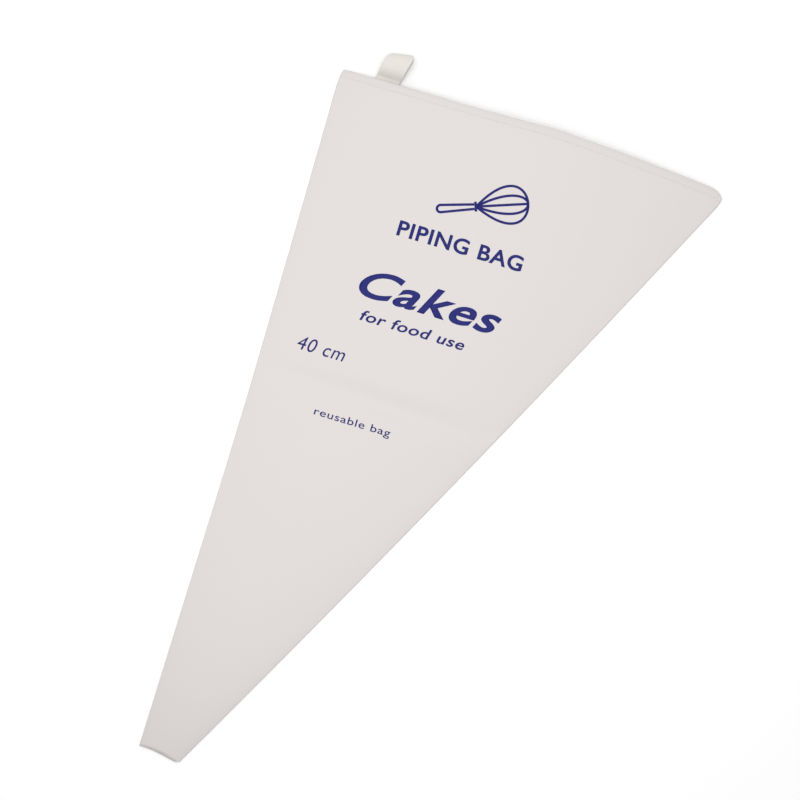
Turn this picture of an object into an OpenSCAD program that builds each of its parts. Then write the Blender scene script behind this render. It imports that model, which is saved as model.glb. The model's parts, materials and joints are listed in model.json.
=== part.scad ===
// Piping bag: a flat cone of coated nylon cloth lying on its back leaf, with its mouth
// hemmed and stitched, one side folded, the other side welded, and a hanging loop.
// The origin is the middle of the tip opening, on the plane that the bag rests on.
// +Y runs up the bag to the mouth, +X to the welded side and +Z out of the front leaf.
// A place on a leaf is given by s, from 0 at the fold to 1 at the seam, and by t, from
// 0 at the tip to 1 at the mouth.

/* [Bag] */
// Length up the middle, from the tip to the mouth
bag_length = 400; // [350:10:450]
// Width across the mouth, lying flat
mouth_width = 224.4; // [190:0.2:240]
// Width across the tip, lying flat
tip_width = 23; // [18:0.5:30]
// Slope of the mouth's edge, rising to the seam, in degrees
mouth_slope = 12.5; // [8:0.1:16]
// Slope of the tip's edge, rising to the seam, in degrees
tip_slope = 5.5; // [0:0.5:10]
// How far the mouth's edge bulges
mouth_bow = 3.2; // [0:0.2:6]
// Where the mouth's edge bulges most, as a share of its width from the fold
mouth_peak = 0.54; // [0.4:0.01:0.7]
// How far the seam edge bulges outwards
seam_bow = 2.4; // [0:0.2:4]
// How far the folded edge is drawn inwards
fold_bow = 1.9; // [0:0.1:4]
// Radius of the mouth's corner at the fold
fold_corner = 4; // [1:0.5:5]
// Rounding of the mouth's corner at the seam, along the mouth and along the seam
seam_corner = [7, 5]; // [2:0.5:8]

/* [Cloth] */
// Thickness of the coated cloth
cloth_t = 0.4; // [0.3:0.05:0.5]
// Clearance between the two leaves at their edges
leaf_gap = 0.3; // [0.2:0.05:0.5]
// Width of the turned and stitched hem round the mouth
hem_width = 5.3; // [5.1:0.1:8]
// Width of the weld down the side
seam_width = 1.6; // [1.2:0.1:3]

/* [Lie of the front leaf] */
// How far the front leaf stands off the back one in the middle of the mouth
mouth_rise = 8; // [6:0.5:12]
// The same in the middle of the tip
tip_rise = 1.2; // [0.6:0.2:2]
// How full the leaf's cross-section is: 1 is a parabola, less is fuller
fullness = 0.85; // [0.7:0.05:1.2]
// Where the old packing crease crosses the bag, as a share of its length
crease_at = 0.55; // [0.3:0.01:0.7]
// Depth of the crease
crease_depth = 1.6; // [0:0.2:2.4]
// Half the width of the crease
crease_half = 11; // [9:1:20]

/* [Hanging loop] */
// Width of the tape
tape_width = 14.4; // [12:0.2:20]
// Thickness of the tape
tape_t = 0.7; // [0.5:0.1:0.9]
// How far the loop stands out of the mouth's edge
loop_length = 15.9; // [15:0.1:20]
// Where the loop is sewn in, as a share of the mouth's width from the fold
loop_at = 0.12; // [0.11:0.01:0.2]
// How far the loop leans to the seam side, in degrees from square to the mouth
loop_lean = 8; // [0:1:10]
// How much longer the loop is at its seam side than at its fold side
loop_skew = 3.4; // [0:0.2:4]
// Inner height of the loop's eye
eye_height = 6.4; // [6:0.1:7]

/* [Stitching] */
// Thickness of the sewing thread
thread_d = 0.35; // [0.25:0.05:0.5]
// Length of one stitch, from hole to hole
stitch_pitch = 2.4; // [2:0.1:4]

/* [Hidden] */

// The two hem thicknesses and the clearance set how high the front leaf's edges lie.
edge_z = 2 * cloth_t + leaf_gap;
// Length of the cloth up the middle, without the bulge of the mouth's edge
cut_length = bag_length - mouth_bow;
hem_t = 1 - hem_width / cut_length;
stitch_line_t = hem_t + 0.7 / cut_length;
stitch_gap = 0.5;

// The loop turns about a line across the tape, a little way out of the hem.
hinge_out = 2.4;
hinge_z = 2 * cloth_t + tape_t;
hinge_clear = 1.1;
tail_length = 13;
loop_free = loop_length - hinge_out;
loop_root = 0.3;
loop_rise = eye_height / 2 + tape_t + 0.05 - hinge_z;
loop_rise_length = 7;
// sin(a) * sin(a / 2)^2 is the eye's outline; this is its largest value.
teardrop_peak = 0.6495;

cloth_white = [0.93, 0.92, 0.91];
hem_white = [0.95, 0.94, 0.95];
tape_cream = [0.93, 0.91, 0.88];
thread_white = [0.97, 0.97, 0.96];

// --- Outline of a leaf ---

function mix(a, b, k) = a + (b - a) * k;
function hump(k) = 4 * k * (1 - k);
function aim(angle) = [cos(angle), sin(angle)];
function tip_end(side) = side * tip_width / 2 * aim(tip_slope);
function mouth_end(side) = [0, cut_length] + side * mouth_width / 2 * aim(mouth_slope);
// Two nearly straight halves that meet in a soft bend, from 0 at both ends to 1 between them
function bend(k, soft = 0.2) = let (far = sqrt(1 + soft * soft) - soft)
    1 - (sqrt(pow(2 * k - 1, 2) + soft * soft) - soft) / far;
function fold_edge(t) = mix(tip_end(-1), mouth_end(-1), t) + [fold_bow * bend(t), 0];
function seam_edge(t) = mix(tip_end(1), mouth_end(1), t) + [seam_bow * hump(t), 0];
function leaf_width(t) = norm(seam_edge(t) - fold_edge(t));
// The mouth's bulge: it swells slowly from the fold, and falls off towards the seam.
function bulge(s) =
    let (swell = pow(s / mouth_peak, 2.5),
         fall = 1 - pow(max(0, s - mouth_peak) / (1 - mouth_peak), 1.4))
    (swell + fall - sqrt(pow(swell - fall, 2) + 0.006)) / 2;
function place(s, t) = mix(fold_edge(t), seam_edge(t), s) + [0, mouth_bow * t * t * bulge(s)];
// The s of a point that lies d inside the seam edge
function inset(t, d) = 1 - d / leaf_width(t);
// How far t stops short of 1 at a distance d from the edge, where a corner is rounded over
// run along the mouth and over rise along the edge
function corner_cut(d, run, rise) =
    d >= run ? 0 : rise * (1 - sqrt(1 - pow(1 - d / run, 2))) / cut_length;
function mouth_t(s) = 1 - corner_cut(s * mouth_width, fold_corner, fold_corner)
                        - corner_cut((1 - s) * mouth_width, seam_corner.x, seam_corner.y);
// Even steps drawn together at both ends, for curves that bend most there
function eased(k) = (1 - cos(180 * k)) / 2;

// --- Lie of the front leaf ---

function crown(t) = mix(tip_rise, mouth_rise, pow(t, 0.8));
function crease(t) = crease_depth * exp(-pow((t - crease_at) * cut_length / crease_half, 2));
// Height of the front leaf's underside
function lift(s, t) = edge_z + (crown(t) - crease(t)) * pow(max(0, hump(s)), fullness);
function on_front(s, t, z = 0) = let (p = place(s, t)) [p.x, p.y, lift(s, t) + z];

// --- Building blocks ---

// A curved sheet on a grid of points, where at(i, j) gives the underside's points
module sheet(at, ni, nj, thick) {
    row = ni + 1;
    under = [for (j = [0:nj], i = [0:ni]) at(i / ni, j / nj)];
    over = [for (p = under) p + [0, 0, thick]];
    n = len(under);
    quads = [for (j = [0:nj - 1], i = [0:ni - 1])
             let (a = j * row + i) [a, a + 1, a + row + 1, a + row]];
    rim = concat([for (i = [0:ni]) i],
                 [for (j = [1:nj]) j * row + ni],
                 [for (i = [ni - 1:-1:0]) nj * row + i],
                 [for (j = [nj - 1:-1:1]) j * row]);
    m = len(rim);
    walls = [for (k = [0:m - 1]) let (a = rim[k], b = rim[(k + 1) % m]) [a, b, b + n, a + n]];
    // Every face lists its points clockwise as seen from outside.
    split = function (q) [[q[0], q[1], q[2]], [q[0], q[2], q[3]]];
    faces = [for (q = quads) each split(q),
             for (q = quads) each split([q[0] + n, q[3] + n, q[2] + n, q[1] + n]),
             for (q = walls) each split([q[0], q[3], q[2], q[1]])];
    polyhedron(concat(under, over), faces);
}

// A straight stitch of thread between two points
module stitch(from, to) {
    d = to - from;
    translate(from)
        rotate([0, acos(d.z / norm(d)), atan2(d.y, d.x)])
            cylinder(h = norm(d), d = thread_d, $fn = 6);
}

// Stitches along the hem from s_from to s_to, lying on the surface that on(s) gives
module hem_row(on, s_from, s_to) {
    count = floor((s_to - s_from) * mouth_width / stitch_pitch);
    step = (s_to - s_from) / count;
    for (i = [0:count - 1]) {
        s = s_from + i * step;
        stitch(on(s), on(s + step - stitch_gap / mouth_width));
    }
}

// Puts its children in the loop's own frame: x along the mouth's edge, y out of it with the
// loop's lean, and the hinge at y = 0
module loop_frame() {
    root = place(loop_at, 1);
    edge = place(loop_at + 0.02, 1) - place(loop_at - 0.02, 1);
    translate([root.x, root.y, 0])
        rotate([0, 0, atan2(edge.y, edge.x)])
            translate([0, hinge_out, 0])
                multmatrix([[1, tan(loop_lean), 0, 0], [0, 1, 0, 0], [0, 0, 1, 0]])
                    children();
}

// --- The back leaf, its hem and the weld ---

module back_panel() {
    n = 14;
    color(cloth_white)
        linear_extrude(cloth_t)
            polygon(concat(
                [for (k = [0:n]) place(0, hem_t * k / n)],
                [for (k = [1:n]) place(k / n * inset(hem_t, seam_width), hem_t)],
                [for (k = [n - 1:-1:0])
                    let (t = hem_t * k / n) place(inset(t, seam_width), t)]));
}

module back_hem() {
    n = 28;
    color(hem_white)
        linear_extrude(2 * cloth_t)
            polygon(concat(
                [for (k = [0:n]) place(k / n, hem_t)],
                [for (k = [n:-1:0]) place(eased(k / n), mouth_t(eased(k / n)))]));
}

module side_seam() {
    n = 14;
    top_t = hem_t - leaf_gap / cut_length;
    color(cloth_white)
        linear_extrude(edge_z + cloth_t)
            polygon(concat(
                [for (k = [0:n]) place(1, top_t * k / n)],
                [for (k = [n:-1:0]) let (t = top_t * k / n) place(inset(t, seam_width), t)]));
}

module back_hem_stitches() {
    tape_half = (tape_width / 2 + 2) / mouth_width;
    on = function (s) let (p = place(s, stitch_line_t)) [p.x, p.y, 2 * cloth_t + thread_d / 2];
    color(thread_white) {
        hem_row(on, 0.02, loop_at - tape_half);
        hem_row(on, loop_at + tape_half, 0.98);
    }
}

// --- The front leaf and its hem ---

module front_panel() {
    at = function (i, j) let (t = hem_t * j) on_front(i * inset(t, seam_width + leaf_gap), t);
    color(cloth_white) sheet(at, 18, 36, cloth_t);
}

module front_hem() {
    at = function (i, j) let (s = eased(i)) on_front(s, mix(hem_t, mouth_t(s), j));
    color(hem_white) sheet(at, 36, 2, 2 * cloth_t);
}

module front_hem_stitches() {
    on = function (s) on_front(s, stitch_line_t, 2 * cloth_t + thread_d / 2);
    color(thread_white) hem_row(on, 0.02, 0.98);
}

// --- The hanging loop ---

// A point on the tape's inner face, where a runs from 0 to 360 degrees round the eye
function eye(a) = let (y = mix(loop_root, loop_free - tape_t, (1 - cos(a)) / 2),
                       rise = loop_rise * sin(90 * min(1, y / loop_rise_length)))
    [y, hinge_z + rise + eye_height / 2 / teardrop_peak * sin(a) * pow(sin(a / 2), 2)];
// The point on the tape's outer face over it
function eye_back(a) = let (d = eye(a + 1) - eye(a - 1)) eye(a) + tape_t * [-d.y, d.x] / norm(d);

module hanging_loop() {
    // The tape's two legs lie together at the root and part at this angle.
    part = 40;
    n = 32;
    near = 1 - loop_skew / 2 / loop_free;
    far = 1 + loop_skew / 2 / loop_free;
    color(tape_cream)
        loop_frame()
            rotate([90, 0, 90])
                translate([0, 0, -tape_width / 2])
                    linear_extrude(tape_width, scale = [far / near, 1])
                        scale([near, 1])
                            difference() {
                                polygon([for (k = [0:n]) eye_back(mix(10, 350, k / n))]);
                                polygon([for (k = [0:n]) eye(mix(part, 360 - part, k / n))]);
                            }
}

module loop_tail() {
    color(tape_cream)
        loop_frame()
            translate([-tape_width / 2, -tail_length, 2 * cloth_t])
                cube([tape_width, tail_length - hinge_clear, 2 * tape_t]);
}

module loop_stitches() {
    rows = [-tail_length + 1.6, -tail_length + 4.2];
    count = 6;
    pitch = (tape_width - 2) / count;
    z = 2 * cloth_t + 2 * tape_t + thread_d / 2;
    color(thread_white)
        loop_frame()
            for (y = rows, i = [0:count - 1])
                stitch([-tape_width / 2 + 1 + i * pitch, y, z],
                       [-tape_width / 2 + 1 + (i + 1) * pitch - stitch_gap, y, z]);
}

back_panel();
front_panel();
back_hem();
front_hem();
side_seam();
back_hem_stitches();
front_hem_stitches();
hanging_loop();
loop_tail();
loop_stitches();
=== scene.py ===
"""Piping bag of coated cloth: one folded and welded cone with a stitched hem, a hanging
loop and a screen print, lying flat on a pale table.

Every piece of cloth is first made in an open form: its front leaf stands up as a smooth
dome over the back leaf. A geometry nodes modifier then lets the cloth down to its flat,
slightly rumpled lie.

A place on the bag is given by s, from 0 at the fold to 1 at the weld, and by t, from 0 at
the tip to 1 at the mouth."""

import json
import math

import bmesh
import bpy
import numpy as np
from bpy.props import FloatProperty, FloatVectorProperty, PointerProperty, StringProperty
from mathutils import Matrix, Vector, noise


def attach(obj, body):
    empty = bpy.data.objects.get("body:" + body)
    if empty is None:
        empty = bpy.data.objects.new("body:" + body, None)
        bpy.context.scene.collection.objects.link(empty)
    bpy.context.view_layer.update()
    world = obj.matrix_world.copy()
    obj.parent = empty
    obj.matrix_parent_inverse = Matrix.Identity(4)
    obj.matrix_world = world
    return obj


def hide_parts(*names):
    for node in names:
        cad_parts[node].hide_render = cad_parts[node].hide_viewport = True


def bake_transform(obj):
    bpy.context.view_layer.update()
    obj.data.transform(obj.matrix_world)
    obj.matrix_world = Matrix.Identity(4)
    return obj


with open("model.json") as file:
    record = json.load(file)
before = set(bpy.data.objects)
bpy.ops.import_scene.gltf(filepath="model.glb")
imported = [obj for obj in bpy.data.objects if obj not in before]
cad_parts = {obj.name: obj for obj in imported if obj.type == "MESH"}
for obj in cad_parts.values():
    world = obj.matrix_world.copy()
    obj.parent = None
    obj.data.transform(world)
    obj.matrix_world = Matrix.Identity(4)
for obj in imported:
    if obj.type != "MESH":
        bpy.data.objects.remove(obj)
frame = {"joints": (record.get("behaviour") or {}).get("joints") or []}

bl_info = {
    "name": "Piping Bag",
    "version": (1, 0, 0),
    "blender": (4, 5, 0),
    "location": "3D View > Sidebar > Piping Bag",
    "description": "Builds a hemmed piping bag of coated cloth with its loop and print",
    "category": "Add Mesh",
}

MM = 0.001
BACK, FRONT, LOOP = "back_leaf", "front_leaf", "loop"


# --- Settings ---


def length_property(name, description, default):
    """A length in metres that the sidebar shows in the scene's own unit."""
    return FloatProperty(
        name=name, description=description, default=default, subtype="DISTANCE", unit="LENGTH", precision=5
    )


def angle_property(name, description, degrees):
    return FloatProperty(
        name=name, description=description, default=math.radians(degrees), subtype="ANGLE", unit="ROTATION"
    )


def colour_property(name, description, default):
    return FloatVectorProperty(
        name=name, description=description, default=default, subtype="COLOR", size=3, min=0, max=1
    )


class BagSettings(bpy.types.PropertyGroup):
    """The cut of the bag and the lie of its cloth"""

    length: length_property("Length", "Up the middle, from the tip to the mouth", 0.4)
    mouth_width: length_property("Mouth width", "Across the mouth, lying flat", 0.2244)
    tip_width: length_property("Tip width", "Across the tip, lying flat", 0.023)
    mouth_slope: angle_property("Mouth slope", "How steeply the mouth rises to the weld", 12.5)
    tip_slope: angle_property("Tip slope", "How steeply the tip's edge rises to the weld", 6.5)
    mouth_bow: length_property("Mouth bow", "How far the mouth's edge bulges", 3.2 * MM)
    mouth_peak: FloatProperty(
        name="Mouth peak", description="Where the mouth bulges most, as a share of its width", default=0.54
    )
    seam_bow: length_property("Seam bow", "How far the welded edge bulges", 2.4 * MM)
    fold_bow: length_property("Fold bow", "How far the folded edge is drawn in", 1.9 * MM)
    fold_corner: length_property("Fold corner", "Radius of the mouth's corner at the fold", 1.2 * MM)
    seam_corner: length_property("Seam corner", "The corner's rounding at the weld, along the mouth", 9 * MM)
    seam_corner_rise: length_property("Seam corner rise", "The same, along the weld", 5 * MM)
    cloth: length_property("Cloth", "Thickness of the coated cloth", 0.35 * MM)
    hem_width: length_property("Hem width", "Width of the turned hem", 5.3 * MM)
    hem_thickness: length_property("Hem thickness", "Two layers of cloth, sewn down", 0.78 * MM)
    weld_width: length_property("Weld width", "Width of the weld down the side", 1.6 * MM)
    mouth_rise: length_property("Mouth rise", "How far the front leaf stands up at the mouth", 8 * MM)
    tip_rise: length_property("Tip rise", "How far the front leaf stands up at the tip", 1.2 * MM)
    fullness: FloatProperty(
        name="Fullness", description="1 gives a parabola across the bag, less is fuller", default=0.85
    )
    crease_at: FloatProperty(
        name="Crease", description="Where the packing crease crosses, as a share of the length", default=0.555
    )
    crease_depth: length_property("Crease depth", "Depth of the packing crease", 2.3 * MM)
    crease_half: length_property("Crease half width", "Half the crease's width", 7.5 * MM)
    colour: colour_property("Cloth colour", "Colour of the coated cloth", (0.70, 0.66, 0.65))
    hem_colour: colour_property("Hem colour", "Colour of the doubled hem", (0.685, 0.652, 0.638))


class ThreadSettings(bpy.types.PropertyGroup):
    """The sewing thread"""

    thickness: length_property("Thickness", "Thickness of the sewing thread", 0.34 * MM)
    pitch: length_property("Stitch", "Length of one stitch, from hole to hole", 2.3 * MM)
    inset: length_property("Inset", "How far the stitches lie above the hem's lower edge", 0.75 * MM)
    colour: colour_property("Thread colour", "Colour of the thread", (0.80, 0.78, 0.74))


class LoopSettings(bpy.types.PropertyGroup):
    """The hanging loop"""

    width: length_property("Width", "Width of the tape at the end of the loop", 14.2 * MM)
    root_width: length_property("Root width", "Width of the tape where it is sewn in", 13.9 * MM)
    reach: length_property("Reach", "How far the loop stands out of its hinge line", 15 * MM)
    lean: angle_property("Lean", "How far the loop leans to the weld, from square to the mouth", 12.5)
    skew: length_property("Skew", "How much longer the loop is at its side towards the weld", 2.8 * MM)
    tape: length_property("Tape", "Thickness of the tape", 0.7 * MM)
    tail: length_property("Tail", "How far the tape's ends run into the bag", 13 * MM)
    eye: length_property("Eye", "Inner height of the loop's eye", 6.4 * MM)
    colour: colour_property("Tape colour", "Colour of the twill tape", (0.745, 0.715, 0.67))


class PrintSettings(bpy.types.PropertyGroup):
    """The screen print"""

    colour: colour_property("Ink colour", "Colour of the ink", (0.016, 0.020, 0.18))
    ink: length_property("Ink", "Thickness of the ink", 0.04 * MM)
    slope: angle_property("Slope", "How steeply the lines of print rise to the weld", 14)
    heading: StringProperty(name="Heading", description="Line under the picture", default="PIPING BAG")
    title: StringProperty(name="Title", description="The large word", default="Cakes")
    note: StringProperty(name="Note", description="Line under the large word", default="for food use")
    size: StringProperty(name="Size", description="The size mark", default="40 cm")
    foot: StringProperty(name="Foot", description="The lowest line", default="reusable bag")


class StageSettings(bpy.types.PropertyGroup):
    """The table, the lights and the camera"""

    floor_size: length_property("Floor", "Width of the pale floor", 8)
    floor_colour: colour_property("Floor colour", "Colour of the floor", (0.98, 0.98, 0.98))
    frame_width: length_property("Frame width", "What the camera sees from side to side", 0.436)
    lens: FloatProperty(name="Lens", description="Focal length in millimetres", default=100, min=20)
    roll: angle_property("Roll", "How far the bag is turned clockwise in the picture", 30.94)
    tilt: angle_property("Tilt", "How far the camera leans back from straight above", 5)
    centre: FloatVectorProperty(
        name="Centre",
        description="Where the camera looks",
        default=(0.01312, 0.23095, 0.003),
        subtype="TRANSLATION",
    )
    key_power: FloatProperty(
        name="Key power", description="Power of the soft main light", default=3.7, unit="POWER"
    )
    sky: FloatProperty(name="Sky", description="Strength of the white surroundings", default=0.62)


# --- Places on the bag ---


def mix(a, b, k):
    return a + (b - a) * k


def hump(k):
    """0 at both ends of 0 to 1, and 1 in the middle"""
    return 4 * k * (1 - k)


def bend(k):
    """0 at both ends of 0 to 1, and nearly straight from them to a soft bend of 1 in the middle"""
    soft = 0.2
    far = math.sqrt(1 + soft * soft) - soft
    return 1 - (np.sqrt((2 * k - 1) ** 2 + soft * soft) - soft) / far


def smooth(k):
    k = np.clip(k, 0, 1)
    return k * k * (3 - 2 * k)


def aim(angle):
    return np.array([math.cos(angle), math.sin(angle)])


def ripple(x, y, spacing, stretch=1.0, angle=0.0, seed=0.0):
    """Soft hollows and humps between -1 and 1, spacing apart, and drawn out along angle."""
    c, s = math.cos(angle), math.sin(angle)
    along = (x * c + y * s) / (spacing * stretch)
    across = (y * c - x * s) / spacing
    values = [noise.noise(Vector((a, b, seed))) for a, b in zip(along.ravel(), across.ravel())]
    return np.array(values).reshape(np.shape(along))


class Leaf:
    """The outline and the lie of the bag's two leaves. All lengths are in metres."""

    # The rounded side edges, and the flat cloth beside the fold
    fold_radius = 0.6 * MM
    weld_radius = 1.1 * MM
    fold_flat = 0.4 * MM
    # Half the closed bag's thickness and its gap to the table, along the bag and at the hem
    half_closed = 0.5 * MM
    half_hem = 0.85 * MM
    table_gap = 0.05 * MM
    hem_gap = 0.16 * MM
    hem_spread = 25 * MM
    # The tip's edge: how far it is drawn back over the opening, dented, and rounded at the weld
    tip_recess = 0.9 * MM
    tip_dent = 0.9 * MM
    dent_reach = 15 * MM
    tip_corner = 2.4 * MM
    corner_press = 1.1 * MM
    # How far the side edges turn inward just below the mouth, and over which length
    fold_draw, fold_reach = 1.5 * MM, 11 * MM
    weld_draw, weld_reach = 2.3 * MM, 9 * MM
    # The top of the open form
    dome = 12 * MM

    def __init__(self, bag):
        self.bag = bag
        half_tip = bag.tip_width / 2 * aim(bag.tip_slope)
        half_mouth = bag.mouth_width / 2 * aim(bag.mouth_slope)
        self.length = bag.length - bag.mouth_bow
        middle = np.array([0, self.length])
        self.fold_ends = (-half_tip, middle - half_mouth)
        self.seam_ends = (half_tip, middle + half_mouth)
        self.hem_t = 1 - bag.hem_width / self.length

    def drawn_in(self, t, depth, reach):
        """How far a side edge turns inward over the last reach below the mouth"""
        return depth * np.clip(1 - (1 - t) * self.length / reach, 0, None) ** 1.7

    def fold_edge(self, t):
        t = np.asarray(t, float)[..., None]
        inward = bend(t) * self.bag.fold_bow + self.drawn_in(t, self.fold_draw, self.fold_reach)
        return mix(*self.fold_ends, t) + inward * np.array([1, 0])

    def seam_edge(self, t):
        t = np.asarray(t, float)[..., None]
        outward = hump(t) * self.bag.seam_bow - self.drawn_in(t, self.weld_draw, self.weld_reach)
        return mix(*self.seam_ends, t) + outward * np.array([1, 0])

    def width(self, t):
        return np.linalg.norm(self.seam_edge(t) - self.fold_edge(t), axis=-1)

    def bulge(self, s):
        """The mouth's bulge, which swells slowly from the fold and falls off towards the weld"""
        peak = self.bag.mouth_peak
        swell = (np.clip(s, 0, 1) / peak) ** 2.5
        fall = 1 - (np.clip(s - peak, 0, 1) / (1 - peak)) ** 1.4
        return (swell + fall - np.sqrt((swell - fall) ** 2 + 0.006)) / 2

    def place(self, s, t):
        """x and y of a place"""
        s, t = np.broadcast_arrays(np.asarray(s, float), np.asarray(t, float))
        p = mix(self.fold_edge(t), self.seam_edge(t), s[..., None])
        dent = self.tip_dent * hump(s) * (1 - s) * np.exp(-t * self.length / self.dent_reach)
        return p[..., 0], p[..., 1] + self.bag.mouth_bow * t * t * self.bulge(s) + dent

    def find(self, x, y):
        """s and t of the point at x and y, closed in on step by step"""
        t = y / self.length
        for _ in range(12):
            fold, seam = self.fold_edge(t), self.seam_edge(t)
            s = (x - fold[..., 0]) / (seam[..., 0] - fold[..., 0])
            t = t + (y - self.place(s, t)[1]) / self.length
        return s, t

    def mouth_t(self, s):
        """The t at which the mouth's edge lies, with its two rounded corners"""
        bag = self.bag
        corners = ((s, bag.fold_corner, bag.fold_corner), (1 - s, bag.seam_corner, bag.seam_corner_rise))
        cut = 0
        for share, run, rise in corners:
            inside = np.clip(1 - share * bag.mouth_width / run, 0, 1)
            cut = cut + rise * (1 - np.sqrt(1 - inside**2))
        return 1 - cut / self.length

    def from_tip(self, s, t):
        """t, pressed up a little at the tip's corner so that the corner at the weld is rounded"""
        near = np.clip(1 - (1 - s) * self.bag.tip_width / self.tip_corner, 0, 1)
        return t + near**2 * self.corner_press / self.length * (1 - t)

    def front_from_tip(self, s, t):
        """The same for the front leaf, whose edge is drawn back over the tip opening"""
        return self.from_tip(s, t) + self.tip_recess / self.length * hump(s) ** 1.5 * (1 - t)

    def free(self, s, t):
        """s, counted over the cloth that is free to lift between the fold and the weld"""
        width = self.width(t)
        flat = self.fold_flat + self.bag.weld_width
        return np.clip((s * width - self.fold_flat) / (width - flat), 0, 1)

    def near_edge(self, s, t):
        """Distance to the nearer side edge"""
        return np.clip(np.minimum(s, 1 - s), 0, 1) * self.width(t)

    def roll(self, s, t):
        """The rounded side edge: 0 at the very edge, and 1 where the leaf lies flat"""
        weld = mix(self.weld_radius, self.fold_radius, self.hemward(t))
        radius = np.where(np.asarray(s) > 0.5, weld, self.fold_radius)
        inside = np.clip(1 - self.near_edge(s, t) / radius, 0, 1)
        return np.sqrt(1 - inside**2)

    def hemward(self, t):
        """0 along the bag and 1 at the hem, whose four layers are thicker"""
        return smooth((t - self.hem_t) * self.length / self.hem_spread + 1)

    def half(self, t):
        return mix(self.half_closed, self.half_hem, self.hemward(t))

    def middle(self, t):
        """Height halfway between the two closed leaves at their edges"""
        return mix(self.table_gap, self.hem_gap, self.hemward(t)) + self.half(t)

    def rumple(self, s, t):
        """The front leaf's small unevenness"""
        x, y = self.place(s, t)
        below_hem = np.clip((self.hem_t - t) * self.length, 0, None)
        off_seam = (1 - s) * self.width(t)
        up = math.pi / 2
        waves = 0.7 * MM * ripple(x, y, 110 * MM, seed=3.1)
        waves = waves + 0.24 * MM * ripple(x, y, 42 * MM, 1.8, 0.3, seed=7.7)
        gathers = 0.16 * MM * ripple(x, y, 10 * MM, 3.5, up + 0.2, seed=1.3)
        tugs = 0.14 * MM * ripple(x, y, 8 * MM, 2.5, 0.2, seed=5.9)
        waves = waves + gathers * np.exp(-below_hem / (16 * MM)) + tugs * np.exp(-off_seam / (9 * MM))
        return waves * (1 - np.exp(-self.near_edge(s, t) / (4 * MM)))

    def front(self, s, t):
        """Height of the front leaf's outer face"""
        bag = self.bag
        crown = mix(bag.tip_rise, bag.mouth_rise, np.clip(t, 0, 1) ** 0.8)
        x, y = self.place(s, t)
        across = (y - x * math.tan(bag.mouth_slope) - bag.crease_at * bag.length) / bag.crease_half
        crease = bag.crease_depth * np.exp(-(across**2))
        arch = hump(self.free(s, t))
        lift = crown * arch**bag.fullness - crease * arch**0.7
        return self.middle(t) + self.half(t) * self.roll(s, t) + lift + self.rumple(s, t)

    def back(self, s, t):
        """Height of the back leaf's outer face, which is the underside"""
        x, y = self.place(s, t)
        inward = 1 - np.exp(-self.near_edge(s, t) / (6 * MM))
        wave = 0.12 * MM * (1 + ripple(x, y, 60 * MM, seed=9.4)) * inward
        return self.middle(t) - self.half(t) * self.roll(s, t) + wave

    def opened(self, s, t):
        """Height of the front leaf in the open form"""
        share = np.clip(hump(self.free(s, t)), 0, 1) ** 0.8
        return self.dome * (0.5 - np.sin(np.arcsin(1 - 2 * share) / 3))

    def lie(self, s, t, side):
        """x, y, height and height in the open form, on the front leaf for side 1 and the back for -1"""
        if side > 0:
            return np.array([*self.place(s, t), self.front(s, t), self.opened(s, t)])
        return np.array([*self.place(s, t), self.back(s, t), np.zeros_like(s)])


# --- Meshes ---


def add_object(name, mesh):
    piece = bpy.data.objects.new(name, mesh)
    bpy.context.scene.collection.objects.link(piece)
    return piece


def grid_faces(rows, columns, closed=False):
    """Quads between the points of a grid, whose rows are open or closed to rings"""
    i = np.arange(rows - 1)[:, None]
    j = np.arange(columns if closed else columns - 1)[None, :]
    next_j = (j + 1) % columns
    quads = [i * columns + j, i * columns + next_j, (i + 1) * columns + next_j, (i + 1) * columns + j]
    return np.stack(np.broadcast_arrays(*quads), -1).reshape(-1, 4)


def tube_faces(rings, sides):
    """The faces of a tube, with its two ends closed"""
    last = (rings - 1) * sides
    ends = [list(range(sides))[::-1], [last + i for i in range(sides)]]
    return grid_faces(rings, sides, closed=True).tolist() + ends


def shifted(faces, by):
    return [[point + by for point in face] for face in faces]


def make_mesh(name, points, faces):
    mesh = bpy.data.meshes.new(name)
    points = np.asarray(points, float).reshape(-1, 3).tolist()
    mesh.from_pydata(points, [], [list(map(int, face)) for face in faces])
    mesh.shade_smooth()
    mesh.validate()
    return mesh


def make_piece(name, points, faces):
    return add_object(name, make_mesh(name, points, faces))


def lie_modifier(piece, lie):
    """Moves every vertex by its own entry of lie, when the modifiers are evaluated."""
    attribute = piece.data.attributes.new("lie", "FLOAT_VECTOR", "POINT")
    attribute.data.foreach_set("vector", np.asarray(lie, np.float32).ravel())
    tree = bpy.data.node_groups.get("Lie of the cloth")
    if tree is None:
        tree = bpy.data.node_groups.new("Lie of the cloth", "GeometryNodeTree")
        tree.interface.new_socket("Geometry", in_out="INPUT", socket_type="NodeSocketGeometry")
        tree.interface.new_socket("Geometry", in_out="OUTPUT", socket_type="NodeSocketGeometry")
        inlet = tree.nodes.new("NodeGroupInput")
        outlet = tree.nodes.new("NodeGroupOutput")
        named = tree.nodes.new("GeometryNodeInputNamedAttribute")
        named.data_type = "FLOAT_VECTOR"
        named.inputs["Name"].default_value = "lie"
        move = tree.nodes.new("GeometryNodeSetPosition")
        tree.links.new(inlet.outputs["Geometry"], move.inputs["Geometry"])
        tree.links.new(named.outputs["Attribute"], move.inputs["Offset"])
        tree.links.new(move.outputs["Geometry"], outlet.inputs["Geometry"])
    piece.modifiers.new("Lie", "NODES").node_group = tree


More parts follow.
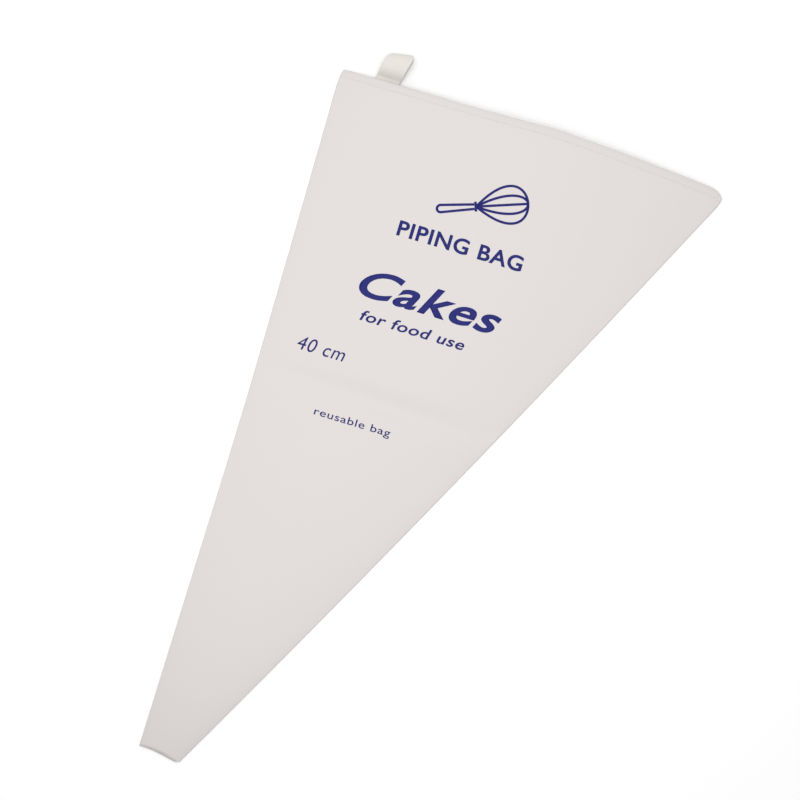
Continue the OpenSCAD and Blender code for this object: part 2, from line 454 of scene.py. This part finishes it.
def lay(name, x, y, z, dome, faces):
    """A piece of the bag in its open form, with the modifier that lays it down to z"""
    x, y, z, dome = np.broadcast_arrays(x, y, z, dome)
    piece = make_piece(name, np.stack([x, y, dome], -1), faces)
    drop = np.zeros((x.size, 3))
    drop[:, 2] = (z - dome).ravel()
    lie_modifier(piece, drop)
    return piece


def lay_rings(name, rings):
    """The same from closed rings of points, each given as rows of x, y, z and dome"""
    rings = np.array(rings)
    faces = grid_faces(len(rings), rings.shape[2], closed=True)
    return lay(name, *rings.transpose(1, 0, 2), faces)


def follow_mouth(piece):
    """Bakes the piece's transform into its mesh."""
    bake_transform(piece)


def thicken(piece, thickness, offset, even=True):
    solidify = piece.modifiers.new("Thickness", "SOLIDIFY")
    solidify.thickness = thickness
    solidify.offset = offset
    solidify.use_even_offset = even
    return solidify


def round_off(piece):
    rounded = piece.modifiers.new("Rounded", "SUBSURF")
    rounded.levels = rounded.render_levels = 1


# --- Materials ---


class Shader:
    """A new material and the few node calls that the finishes below share"""

    def __init__(self, name, roughness, specular=0.35):
        self.material = bpy.data.materials.new(name)
        self.material.use_nodes = True
        self.nodes = self.material.node_tree.nodes
        self.surface = self.nodes["Principled BSDF"]
        self.surface.inputs["Roughness"].default_value = roughness
        self.surface.inputs["Specular IOR Level"].default_value = specular
        self.place = self.nodes.new("ShaderNodeTexCoord").outputs["Object"]

    def link(self, source, target):
        self.material.node_tree.links.new(source, target)

    def value(self, operation, *inputs):
        node = self.nodes.new("ShaderNodeMath")
        node.operation = operation
        for socket, given in zip(node.inputs, inputs):
            if isinstance(given, (int, float)):
                socket.default_value = given
            else:
                self.link(given, socket)
        return node.outputs[0]

    def axes(self):
        split = self.nodes.new("ShaderNodeSeparateXYZ")
        self.link(self.place, split.inputs[0])
        return split.outputs["X"], split.outputs["Y"]

    def noise(self, size, detail):
        """Noise with features of that size in metres"""
        node = self.nodes.new("ShaderNodeTexNoise")
        node.inputs["Scale"].default_value = 1 / size
        node.inputs["Detail"].default_value = detail
        self.link(self.place, node.inputs["Vector"])
        return node.outputs["Fac"]

    def turned(self, angle):
        """x and y, turned by angle about the vertical"""
        x, y = self.axes()
        c, s = math.cos(angle), math.sin(angle)
        across = self.value("ADD", self.value("MULTIPLY", x, c), self.value("MULTIPLY", y, s))
        along = self.value("SUBTRACT", self.value("MULTIPLY", y, c), self.value("MULTIPLY", x, s))
        return across, along

    def wave(self, source, pitch):
        """A sine with that pitch in metres"""
        return self.value("SINE", self.value("MULTIPLY", source, 2 * math.pi / pitch))

    def plain_weave(self, angle):
        """Height of the nylon's plain weave, 0 to 1"""
        pitch = 0.9 * MM
        across, along = self.turned(angle)
        crossing = self.value("MULTIPLY", self.wave(across, pitch), self.wave(along, pitch))
        return self.value("ABSOLUTE", crossing)

    def colour(self, colour, mask, darker):
        """colour, brought down to darker times itself where mask is low"""
        node = self.nodes.new("ShaderNodeMix")
        node.data_type = "RGBA"
        node.inputs["A"].default_value = (*(c * darker for c in colour), 1)
        node.inputs["B"].default_value = (*colour, 1)
        self.link(mask, node.inputs["Factor"])
        self.link(node.outputs["Result"], self.surface.inputs["Base Color"])

    def painted_tip_shade(self, mask):
        """mask, lowered at the tip by an amount that dies away up the bag: painted shade that darkens the
        surface towards the tip
        """
        fade = self.value("EXPONENT", self.value("DIVIDE", self.axes()[1], -45 * MM))
        return self.value("SUBTRACT", mask, self.value("MULTIPLY", fade, 0.6))

    def roughness(self, mask, low, high):
        span = self.nodes.new("ShaderNodeMapRange")
        span.inputs["To Min"].default_value = low
        span.inputs["To Max"].default_value = high
        self.link(mask, span.inputs["Value"])
        self.link(span.outputs["Result"], self.surface.inputs["Roughness"])

    def bump(self, height, depth, strength):
        node = self.nodes.new("ShaderNodeBump")
        node.inputs["Strength"].default_value = strength
        node.inputs["Distance"].default_value = depth
        previous = self.surface.inputs["Normal"]
        if previous.links:
            self.link(previous.links[0].from_socket, node.inputs["Normal"])
        self.link(height, node.inputs["Height"])
        self.link(node.outputs["Normal"], previous)

    def sheen(self, weight):
        self.surface.inputs["Sheen Weight"].default_value = weight
        self.surface.inputs["Sheen Roughness"].default_value = 0.4


def coated_cloth(name, colour, weave_angle):
    """Tightly woven nylon under a thin matt coat, with painted shade that darkens it towards the tip"""
    shader = Shader(name, 0.62)
    weave = shader.plain_weave(weave_angle)
    clouds = shader.noise(60 * MM, 3)
    mask = shader.value("MULTIPLY_ADD", shader.value("ADD", clouds, weave), 0.11, 0.78)
    shader.colour(colour, shader.painted_tip_shade(mask), 0.85)
    shader.roughness(clouds, 0.57, 0.68)
    shader.bump(weave, 0.03 * MM, 0.6)
    shader.bump(shader.noise(7 * MM, 4), 0.05 * MM, 0.5)
    shader.sheen(0.08)
    return shader.material


def inner_coat():
    """The smooth, slightly shinier inside"""
    shader = Shader("Inner coat", 0.4, 0.5)
    clouds = shader.noise(40 * MM, 3)
    shader.colour((0.76, 0.735, 0.70), clouds, 0.96)
    shader.roughness(clouds, 0.34, 0.48)
    shader.bump(shader.noise(4 * MM, 3), 0.03 * MM, 0.5)
    return shader.material


def welded_cloth(bag):
    """Cloth melted together by a ribbed jaw"""
    shader = Shader("Weld", 0.45, 0.45)
    mask = shader.value("MULTIPLY_ADD", shader.noise(3 * MM, 3), 0.35, 0.65)
    # A little darker than the cloth: painted shade for the seam's rounded edge
    colour = tuple(0.96 * c for c in bag.colour)
    # Painted shade, darker towards the tip
    shader.colour(colour, shader.painted_tip_shade(mask), 0.85)
    shader.bump(shader.noise(1.2 * MM, 2), 0.04 * MM, 0.6)
    return shader.material


def sewing_thread(thread):
    """Two-ply thread with a light twist"""
    shader = Shader("Sewing thread", 0.55)
    twist = shader.wave(shader.turned(math.radians(45))[0], 0.28 * MM)
    shader.colour(tuple(thread.colour), shader.value("MULTIPLY_ADD", twist, 0.5, 0.5), 0.88)
    shader.bump(twist, 0.03 * MM, 0.7)
    shader.sheen(0.15)
    return shader.material


def twill_tape(loop, angle):
    """Cream tape with diagonal ribs and a firm woven edge"""
    shader = Shader("Twill tape", 0.72, 0.25)
    ribs = shader.wave(shader.turned(angle)[0], 0.9 * MM)
    yarns = shader.wave(shader.turned(angle + math.radians(60))[0], 0.45 * MM)
    height = shader.value("ADD", shader.value("MULTIPLY", ribs, 0.6), shader.value("MULTIPLY", yarns, 0.4))
    clouds = shader.noise(9 * MM, 3)
    mask = shader.value("MULTIPLY_ADD", height, 0.2, clouds)
    shader.colour(tuple(loop.colour), mask, 0.95)
    shader.bump(height, 0.05 * MM, 0.5)
    shader.sheen(0.25)
    return shader.material


def screen_ink(print_settings):
    """Flat ink that lets the weave show through as fine relief and thinner specks"""
    shader = Shader("Screen ink", 0.6, 0.2)
    weave = shader.plain_weave(0)
    mask = shader.value("MULTIPLY_ADD", shader.noise(2 * MM, 4), 0.6, shader.value("MULTIPLY", weave, 0.4))
    shader.colour(tuple(print_settings.colour), mask, 0.8)
    shader.bump(weave, 0.03 * MM, 0.6)
    return shader.material


def matt_floor(stage):
    shader = Shader("Floor", 0.9, 0.1)
    shader.colour(tuple(stage.floor_colour), shader.noise(0.4, 2), 0.99)
    return shader.material


# --- The bag's pieces ---


def edge_columns(width, steps, close):
    """Shares of width across a leaf: close to both edges at the given distances, and even between them"""
    near = np.asarray(close) / width
    between = np.linspace(near[-1], 1 - near[-1], steps)[1:-1]
    return np.concatenate([near, between, 1 - near[::-1]])


class BAG_OT_cloth(bpy.types.Operator):
    """Makes the cone of coated cloth, folded on one side and welded on the other"""

    bl_idname = "bag.cloth"
    bl_label = "Bag Cloth"

    def execute(self, context):
        bag = context.scene.bag
        leaf = Leaf(bag)
        close = np.array([0, 0.06, 0.2, 0.4, 0.65, 1.0, 1.5, 2.2, 3.2]) * MM
        # The rows lie closer over the gathers below the hem, and the last one is hidden inside it
        gathers = leaf.hem_t - 24 * MM / leaf.length
        last = leaf.hem_t + 1.2 * MM / leaf.length
        rows = np.concatenate([np.linspace(0, gathers, 215), np.linspace(gathers, last, 30)[1:]])
        rings = []
        for t in rows:
            width = float(leaf.width(t))
            front_s = edge_columns(width, 112, close)
            back_s = edge_columns(width, 46, close)[1:-1][::-1]
            front = leaf.lie(front_s, leaf.front_from_tip(front_s, t), 1)
            back = leaf.lie(back_s, leaf.from_tip(back_s, t), -1)
            rings.append(np.concatenate([front, back], 1))
        piece = lay_rings("bag_cloth", rings)
        piece.data.materials.append(coated_cloth("Coated cloth", tuple(bag.colour), math.radians(4)))
        piece.data.materials.append(inner_coat())
        solidify = thicken(piece, bag.cloth, -1)
        solidify.material_offset = 1
        follow_mouth(piece)
        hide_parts("front_panel", "back_panel")
        return {"FINISHED"}


class BAG_OT_hem(bpy.types.Operator):
    """Makes the turned and sewn hem round the mouth"""

    bl_idname = "bag.hem"
    bl_label = "Mouth Hem"

    def execute(self, context):
        bag, thread = context.scene.bag, context.scene.thread
        leaf = Leaf(bag)
        close = np.array([0.25, 0.4, 0.6, 0.85, 1.2, 1.7]) * MM
        width = bag.mouth_width
        front_s = edge_columns(width, 380, close)
        back_s = edge_columns(width, 190, close)[::-1]
        sunk = 0.13 * MM
        under = bag.hem_thickness / 2 - sunk
        rings = []
        for u in (0, 0.1, 0.22, 0.38, 0.56, 0.74, 0.9, 1.0):
            # Distance to the line of stitches, the fullness between it and the mouth, and the rolled-off rim
            off_line = u * bag.hem_width - thread.inset
            pillow = 0.1 * MM * hump(min(1, 0.15 + 0.85 * u))
            furrow = 0.12 * MM * math.exp(-((off_line / (0.9 * MM)) ** 2))
            rim = furrow + 0.3 * MM * float(smooth((u - 0.7) / 0.3))
            halves = []
            for s, side in ((front_s, 1), (back_s, -1)):
                sway = 0.22 * MM * ripple(*leaf.place(s, leaf.hem_t), 22 * MM, seed=2.2 * side)
                end_t = leaf.mouth_t(s) + u * sway / leaf.length
                start_t = leaf.hem_t + 0.15 * sway / leaf.length
                lie = leaf.lie(s, mix(start_t, end_t, u), side)
                hole = np.cos(math.pi * s * width / thread.pitch) ** 8
                dimple = sunk * hole * math.exp(-((off_line / (0.8 * MM)) ** 2))
                lie[2] += under + dimple if side < 0 else -(under - pillow + dimple + rim)
                halves.append(lie)
            rings.append(np.concatenate(halves, 1))
        piece = lay_rings("mouth_hem", rings)
        piece.data.materials.append(coated_cloth("Hem cloth", tuple(bag.hem_colour), math.radians(49)))
        thicken(piece, bag.hem_thickness, 0)
        round_off(piece)
        follow_mouth(piece)
        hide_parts("front_hem", "back_hem")
        return {"FINISHED"}


class BAG_OT_weld(bpy.types.Operator):
    """Makes the ribbed weld down the side"""

    bl_idname = "bag.weld"
    bl_label = "Side Weld"

    def execute(self, context):
        bag = context.scene.bag
        leaf = Leaf(bag)
        even = np.linspace(0, leaf.hem_t, 900)
        rib = 0.02 * MM * np.sin(2 * math.pi * even * leaf.length / (1.1 * MM))
        # Distance from the edge and height over the cloth, in millimetres, from the inner end to the nose
        profile = [(2.3, -0.08), (2.0, 0.0), (1.6, 0.03), (1.1, 0.035)]
        profile += [(0.7, 0.035), (0.4, 0.04), (0.2, 0.04)]
        # The same for the nose, with the height as a share of half the bag's thickness, from the top down
        nose = [(0.04, 0.34), (-0.08, 0.16), (-0.12, 0.0), (-0.08, -0.16), (0.04, -0.34)]
        lowest = 0.01 * MM
        lines = []
        for inward, over in profile:
            s, t = self.line(leaf, even, inward * MM, True)
            z = leaf.front(s, t) + over * MM + (rib if over > 0.02 else 0)
            lines.append((*leaf.place(s, t), np.maximum(z, lowest)))
        for inward, level in nose:
            s, t = self.line(leaf, even, inward * MM, False)
            lines.append((*leaf.place(s, t), leaf.middle(t) + leaf.half(t) * level))
        for inward, over in profile[::-1]:
            s, t = self.line(leaf, even, inward * MM, False)
            lines.append((*leaf.place(s, t), np.maximum(leaf.back(s, t) - over * MM, lowest)))
        faces = tube_faces(len(even), len(lines))
        piece = make_piece("side_weld", np.array(lines).transpose(2, 0, 1), faces)
        piece.data.materials.append(welded_cloth(bag))
        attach(piece, BACK)
        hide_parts("side_seam")
        return {"FINISHED"}

    def line(self, leaf, even, inward, on_front):
        """s and t of the places that lie inward of the seam's edge"""
        start = leaf.front_from_tip if on_front else leaf.from_tip
        t = start(1 - inward / leaf.bag.tip_width, even)
        return 1 - inward / leaf.width(t), t


STITCH_RINGS, STITCH_SIDES = 7, 8
STITCH_START, STITCH_STOP = 0.1, 0.9


def stitch_body(thread):
    """Shares along a stitch, and the places on its skin, sideways and upwards, ring by ring"""
    fade = np.linspace(0, 1, STITCH_RINGS)
    fat = np.sqrt(np.clip(1 - (2 * fade - 1) ** 4, 0.02, 1)) * thread.thickness / 2
    turn = np.arange(STITCH_SIDES) * 2 * math.pi / STITCH_SIDES
    return fade, np.outer(fat, np.cos(turn)), np.outer(fat, np.sin(turn))


def stitch_faces(count):
    """The faces of that many stitches"""
    size = STITCH_RINGS * STITCH_SIDES
    tube = tube_faces(STITCH_RINGS, STITCH_SIDES)
    return [face for k in range(count) for face in shifted(tube, k * size)]


def stitch_row(leaf, thread, side, raised, span):
    """A row of stitches over the hem, from share to share of the mouth, as x, y, z and dome"""
    count = int(round((span[1] - span[0]) * leaf.bag.mouth_width / thread.pitch))
    fade, sideways, upwards = stitch_body(thread)
    t = np.full(STITCH_RINGS, leaf.hem_t + thread.inset / leaf.length)
    arch = 0.16 * MM * (hump(fade) - 0.6)
    parts = []
    for k in range(count):
        start, stop = (mix(*span, (k + share) / count) for share in (STITCH_START, STITCH_STOP))
        s = mix(start, stop, fade)
        x, y, z, dome = leaf.lie(s, t, side)
        centre = z + raised + (1 if raised >= 0 else -1) * arch
        heading = math.atan2(y[-1] - y[0], x[-1] - x[0])
        ring_x = x[:, None] - math.sin(heading) * sideways
        ring_y = y[:, None] + math.cos(heading) * sideways
        domes = np.repeat(dome[:, None], STITCH_SIDES, 1)
        parts.append((ring_x, ring_y, centre[:, None] + upwards, domes))
    return np.array(parts).transpose(1, 0, 2, 3).reshape(4, -1)


class BAG_OT_stitches(bpy.types.Operator):
    """Sews the hem, with thread on both faces of each leaf"""

    bl_idname = "bag.stitches"
    bl_label = "Hem Stitches"

    def execute(self, context):
        bag, thread = context.scene.bag, context.scene.thread
        leaf = Leaf(bag)
        material = sewing_thread(thread)
        inner = bag.hem_thickness - 0.1 * MM
        span = (0.012, 0.985)
        # Node, side of the bag, and height of the outer and the inner row over the leaf's outer face
        rows = {
            "hem_stitches_front": ("front_hem_stitches", 1, (0.16 * MM, -inner)),
            "hem_stitches_back": ("back_hem_stitches", -1, (0.12 * MM, inner)),
        }
        for name, (node, side, heights) in rows.items():
            made = [stitch_row(leaf, thread, side, height, span) for height in heights]
            points = np.concatenate(made, 1)
            stitches = points.shape[1] // (STITCH_RINGS * STITCH_SIDES)
            piece = lay(name, *points, stitch_faces(stitches))
            piece.data.materials.append(material)
            follow_mouth(piece)
            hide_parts(node)
        return {"FINISHED"}


# --- The hanging loop ---


class LoopFrame:
    """The loop's own frame, taken from its joint: x along the mouth's edge, y out of it with a lean"""

    def __init__(self, loop):
        self.loop = loop
        joint = next(joint for joint in frame["joints"] if joint["name"] == "loop_swing")
        self.hinge = np.array(joint["pos_m"], float)
        self.across = np.array(joint["axis"], float) / np.linalg.norm(joint["axis"])
        self.along = np.cross([0, 0, 1], self.across)

    def point(self, x, y, z):
        """Points in the scene, with z counted from the table. The loop is longer towards the weld."""
        x, y, z = np.broadcast_arrays(x, y, z)
        longer = 1 + x / (self.loop.width / 2) * self.loop.skew / 2 / self.loop.reach
        y = np.where(y > 0, y * longer, y)
        x = x + y * math.tan(self.loop.lean)
        flat = np.multiply.outer(x, self.across) + np.multiply.outer(y, self.along)
        flat[..., 0] += self.hinge[0]
        flat[..., 1] += self.hinge[1]
        flat[..., 2] = z
        return flat


def eye_path(loop, hinge_z):
    """The middle of the tape, from its lower tail round the eye to its upper tail"""
    half = loop.tape / 2
    turn = np.radians(np.linspace(350, 10, 90))
    rise_length = 6 * MM
    peak = 0.7698  # The most that sin(turn) * sin(turn / 2) comes to
    y = mix(0.3 * MM, loop.reach - loop.tape, (1 - np.cos(turn)) / 2)
    rest = loop.eye / 2 + loop.tape + 0.05 * MM
    rise = (rest - hinge_z) * np.sin(math.pi / 2 * np.clip(y / rise_length, 0, 1))
    z = hinge_z + rise + loop.eye / 2 / peak * np.sin(turn) * np.sin(turn / 2)
    slope = np.stack([np.gradient(y), np.gradient(z)], -1)
    slope /= np.linalg.norm(slope, axis=-1)[:, None]
    y = y + half * slope[:, 1]
    z = z - half * slope[:, 0]
    tail = np.linspace(-loop.tail, -0.6 * MM, 26)
    y = np.concatenate([tail, y, tail[::-1]])
    z = np.concatenate([np.full_like(tail, hinge_z - half), z, np.full_like(tail, hinge_z + half)])
    return y, z


def even_steps(y, z, step):
    """The same path with points at even distances"""
    walked = np.concatenate([[0], np.cumsum(np.hypot(np.diff(y), np.diff(z)))])
    at = np.linspace(0, walked[-1], int(walked[-1] / step))
    return np.interp(at, walked, y), np.interp(at, walked, z)


class BAG_OT_loop(bpy.types.Operator):
    """Makes the hanging loop of doubled tape and sews its tails down"""

    bl_idname = "bag.loop"
    bl_label = "Hanging Loop"

    def execute(self, context):
        loop, thread = context.scene.loop, context.scene.thread
        place = LoopFrame(loop)
        y, z = even_steps(*eye_path(loop, place.hinge[2]), 0.55 * MM)
        kernel = np.array([1, 2, 3, 2, 1]) / 9
        inside = slice(2, -2)
        y[inside], z[inside] = np.convolve(y, kernel, "valid"), np.convolve(z, kernel, "valid")
        share = np.linspace(-1, 1, 19)
        flare = smooth((y + 2 * MM) / (12 * MM))
        half = mix(loop.root_width, loop.width, flare) / 2
        from_end = y.max() - y
        left, right = (half - self.corner(from_end, radius) for radius in (3.8 * MM, 3 * MM))
        x = share * np.where(share < 0, left[:, None], right[:, None])
        cup = 0.18 * MM * share**2 * smooth(y / (5 * MM))[:, None]
        points = place.point(x, y[:, None], z[:, None] - cup * np.sign(z - z.mean())[:, None])
        piece = make_piece("hanging_loop_tape", points, grid_faces(len(y), len(share)))
        mouth_angle = math.atan2(place.across[1], place.across[0])
        piece.data.materials.append(twill_tape(loop, mouth_angle + math.radians(35)))
        thicken(piece, loop.tape - 0.04 * MM, 0)
        round_off(piece)
        start, end = (place.point(0.0, at, place.hinge[2]) for at in (-2 * MM, 3 * MM))
        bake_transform(piece)
        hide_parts("hanging_loop", "loop_tail")
        self.sew_tails(loop, thread, place)
        return {"FINISHED"}

    def corner(self, from_end, radius):
        """How far the tape's edge lies in at a rounded corner of the loop's end"""
        inside = np.clip(1 - from_end / radius, 0, 1)
        return 0.8 * radius * (1 - np.sqrt(1 - inside**2))

    def sew_tails(self, loop, thread, place):
        """Two rows of thread across the tails"""
        fade, sideways, upwards = stitch_body(thread)
        arch = 0.14 * MM * (hump(fade) - 0.4)
        z = place.hinge[2] + loop.tape + arch[:, None] + upwards
        count = 6
        span = loop.root_width - 2 * MM
        points = []
        for row in (1.6 * MM, 4.2 * MM):
            for k in range(count):
                x = -span / 2 + span * (k + mix(STITCH_START, STITCH_STOP, fade)) / count
                points.append(place.point(x[:, None], row - loop.tail + sideways, z))
        piece = make_piece("loop_tail_stitches", points, stitch_faces(len(points)))
        piece.data.materials.append(sewing_thread(thread))
        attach(piece, BACK)
        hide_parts("loop_stitches")


# --- The print ---


def drop_folds(cut):
    """Takes out the smaller of two faces on the same side of one edge, where an outline crosses itself."""
    folded = set()
    for edge in cut.edges:
        for end in edge.verts:
            faces = [loop.face for loop in edge.link_loops if loop.vert == end]
            folded.update(sorted(faces, key=lambda face: face.calc_area())[:-1])
    bmesh.ops.delete(cut, geom=list(folded), context="FACES")


def cut_up(mesh, step):
    """Cuts a flat mesh along a square grid, so that it can follow a curved surface."""
    cut = bmesh.new()
    cut.from_mesh(mesh)
    bmesh.ops.triangulate(cut, faces=cut.faces)
    drop_folds(cut)
    for axis in (0, 1):
        values = [v.co[axis] for v in cut.verts]
        normal = Vector((1 - axis, axis, 0))
        for place in np.arange(min(values) + step, max(values), step):
            geometry = [*cut.verts, *cut.edges, *cut.faces]
            bmesh.ops.bisect_plane(cut, geom=geometry, plane_co=normal * place, plane_no=normal)
    bmesh.ops.remove_doubles(cut, verts=cut.verts, dist=0.01 * MM)
    bmesh.ops.dissolve_degenerate(cut, edges=cut.edges, dist=0.005 * MM)
    drop_folds(cut)
    cut.to_mesh(mesh)
    cut.free()


def print_on(name, mesh, centre, settings, leaf, material):
    """Lays a flat mesh, drawn about its own middle, on the front leaf as a thin coat of ink."""
    cut_up(mesh, 2 * MM)
    flat = np.array([v.co for v in mesh.vertices], float).reshape(-1, 3)
    c, s = math.cos(settings.slope), math.sin(settings.slope)
    x = centre[0] + flat[:, 0] * c - flat[:, 1] * s
    y = centre[1] + flat[:, 0] * s + flat[:, 1] * c
    share, along = leaf.find(x, y)
    faces = [list(p.vertices) for p in mesh.polygons]
    piece = lay(name, x, y, leaf.front(share, along) + 0.02 * MM, leaf.opened(share, along), faces)
    bpy.data.meshes.remove(mesh)
    piece.data.materials.append(material)
    thicken(piece, settings.ink, 1, even=False)
    follow_mouth(piece)


def lettering(text, width, height, weight, slant):
    """A flat mesh of a line of plain letters, in a box of that size about the origin"""
    curve = bpy.data.curves.new("letters", "FONT")
    curve.body = text
    curve.offset = weight
    curve.shear = slant
    curve.space_character = 1.08
    curve.resolution_u = 6
    writing = bpy.data.objects.new("letters", curve)
    bpy.context.scene.collection.objects.link(writing)
    bpy.context.view_layer.update()
    mesh = bpy.data.meshes.new_from_object(writing.evaluated_get(bpy.context.evaluated_depsgraph_get()))
    bpy.data.objects.remove(writing)
    bpy.data.curves.remove(curve)
    flat = np.array([v.co for v in mesh.vertices], float).reshape(-1, 3)
    low, high = flat.min(0), flat.max(0)
    scale = np.array([width, height, 0]) / np.maximum(high - low, 1e-9)
    mesh.vertices.foreach_set("co", ((flat - (low + high) / 2) * scale).ravel())
    return mesh


def band(line, thickness):
    """A flat band of even thickness along a line of points, as points and faces"""
    slope = np.gradient(line, axis=0)
    slope /= np.maximum(np.linalg.norm(slope, axis=1), 1e-9)[:, None]
    side = np.stack([-slope[:, 1], slope[:, 0]], -1) * thickness / 2
    points = np.stack([line - side, line + side], 1).reshape(-1, 2)
    return points, grid_faces(len(line), 2)


def whisk(length, thickness):
    """A picture of a balloon whisk, as shares of its length: nested wires, a collar and a long handle"""
    turn = np.linspace(0, 2 * math.pi, 72)
    balloon = 0.57 * (1 - np.cos(turn)) / 2 - 0.07
    lines = [np.stack([balloon, tall * np.sin(turn) * np.sin(turn / 2)], -1) for tall in (0.27, 0.13)]
    lines.append(np.array([[-0.07, 0], [0.2, 0], [0.5, 0]]))
    end = np.radians(np.linspace(90, 270, 18))
    handle = np.stack([-0.46 + 0.04 * np.cos(end), 0.04 * np.sin(end)], -1)
    lines.append(np.concatenate([[[-0.09, 0.025]], handle, [[-0.09, -0.025]]]))
    lines.append(np.array([[-0.075, 0.055], [-0.075, 0], [-0.075, -0.055]]))
    points, faces, count = [], [], 0
    for line in lines:
        flat, quads = band(line * length, thickness)
        points.append(flat)
        faces += (quads + count).tolist()
        count += len(flat)
    flat = np.concatenate(points)
    tilt = math.radians(20)
    flat = np.outer(flat[:, 0], aim(tilt)) + np.outer(flat[:, 1], aim(tilt + math.pi / 2))
    return make_mesh("whisk", np.column_stack([flat, np.zeros(len(flat))]), faces)


class BAG_OT_print(bpy.types.Operator):
    """Prints a picture, four lines of plain words and the size on the front leaf"""

    bl_idname = "bag.print"
    bl_label = "Screen Print"

    def execute(self, context):
        settings, bag = context.scene.print, context.scene.bag
        leaf = Leaf(bag)
        material = screen_ink(settings)
        print_on("print_whisk", whisk(50 * MM, 1.4 * MM), (-2.6 * MM, 345 * MM), settings, leaf, material)
        # Width and height in millimetres, weight, slant, and the middle's x and y in millimetres
        lines = {
            "heading": (71, 8.8, 0.023, 0, -1.8, 320),
            "title": (80, 16, 0.021, 0.35, 0, 285.5),
            "note": (59, 6.0, 0.016, 0.2, -0.5, 267),
            "size": (27, 7.6, 0, 0.2, -38, 233),
            "foot": (43, 5.4, 0.004, 0, -2.6, 206.5),
        }
        for key, (width, height, weight, slant, x, y) in lines.items():
            mesh = lettering(getattr(settings, key), width * MM, height * MM, weight, slant)
            print_on("print_" + key, mesh, (x * MM, y * MM), settings, leaf, material)
        return {"FINISHED"}


# --- The stage ---


class BAG_OT_stage(bpy.types.Operator):
    """Sets the pale floor, the soft lights and the camera"""

    bl_idname = "bag.stage"
    bl_label = "Stage"

    def execute(self, context):
        scene, stage = context.scene, context.scene.stage
        half = stage.floor_size / 2
        corners = [(-half, -half), (half, -half), (half, half), (-half, half)]
        points = [(x, y, -0.1 * MM) for x, y in corners]
        floor = make_piece("floor", points, [(0, 1, 2, 3)])
        floor.data.materials.append(matt_floor(stage))
        scene.view_settings.view_transform = "Standard"
        world = bpy.data.worlds.new("Surroundings")
        world.use_nodes = True
        world.node_tree.nodes["Background"].inputs["Color"].default_value = (1, 1, 1, 1)
        world.node_tree.nodes["Background"].inputs["Strength"].default_value = stage.sky
        scene.world = world
        self.add_camera(scene, stage)
        self.add_light(stage)
        return {"FINISHED"}

    def picture_axes(self, stage):
        """The picture's right and up directions, in the plane of the table"""
        c, s = math.cos(stage.roll), math.sin(stage.roll)
        return Vector((c, s, 0)), Vector((-s, c, 0))

    def add_camera(self, scene, stage):
        right, up = self.picture_axes(stage)
        back = Vector((0, 0, 1)) * math.cos(stage.tilt) - up * math.sin(stage.tilt)
        data = bpy.data.cameras.new("camera")
        data.lens = stage.lens
        distance = stage.frame_width / data.sensor_width * data.lens
        camera = add_object("camera", data)
        top = back.cross(right)
        camera.matrix_world = Matrix((right, top, back)).transposed().to_4x4()
        camera.location = Vector(stage.centre) + back * distance
        scene.camera = camera

    def add_light(self, stage):
        """A broad soft light that hangs over the bag, a little off the picture's middle"""
        right, up = self.picture_axes(stage)
        data = bpy.data.lights.new("key", "AREA")
        data.size = 0.7
        data.energy = stage.key_power
        lamp = add_object("key", data)
        target = Vector(stage.centre)
        lamp.location = target - right * 0.04 + up * 0.08 + Vector((0, 0, 0.75))
        lamp.rotation_euler = (target - lamp.location).to_track_quat("-Z", "Y").to_euler()


class BAG_PT_panel(bpy.types.Panel):
    """Lists the pieces of the bag and their settings"""

    bl_idname = "BAG_PT_panel"
    bl_label = "Piping Bag"
    bl_space_type = "VIEW_3D"
    bl_region_type = "UI"
    bl_category = "Piping Bag"

    def draw(self, context):
        for name in SETTINGS:
            box = self.layout.box()
            box.label(text=name.title())
            group = getattr(context.scene, name)
            for key in group.bl_rna.properties.keys():
                if key not in ("rna_type", "name"):
                    box.prop(group, key)
        for operator in OPERATORS:
            self.layout.operator(operator.bl_idname)


SETTINGS = {
    "bag": BagSettings,
    "thread": ThreadSettings,
    "loop": LoopSettings,
    "print": PrintSettings,
    "stage": StageSettings,
}
OPERATORS = (BAG_OT_stage, BAG_OT_cloth, BAG_OT_hem, BAG_OT_weld, BAG_OT_stitches, BAG_OT_loop, BAG_OT_print)


def register():
    for cls in (*SETTINGS.values(), *OPERATORS, BAG_PT_panel):
        bpy.utils.register_class(cls)
    for name, cls in SETTINGS.items():
        setattr(bpy.types.Scene, name, PointerProperty(type=cls))


def unregister():
    for name in SETTINGS:
        delattr(bpy.types.Scene, name)
    for cls in reversed((*SETTINGS.values(), *OPERATORS, BAG_PT_panel)):
        bpy.utils.unregister_class(cls)


def main():
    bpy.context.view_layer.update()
    register()
    bpy.ops.bag.stage()
    bpy.ops.bag.cloth()
    bpy.ops.bag.hem()
    bpy.ops.bag.weld()
    bpy.ops.bag.stitches()
    bpy.ops.bag.loop()
    bpy.ops.bag.print()
    bpy.context.view_layer.update()


if __name__ == "__main__":
    main()
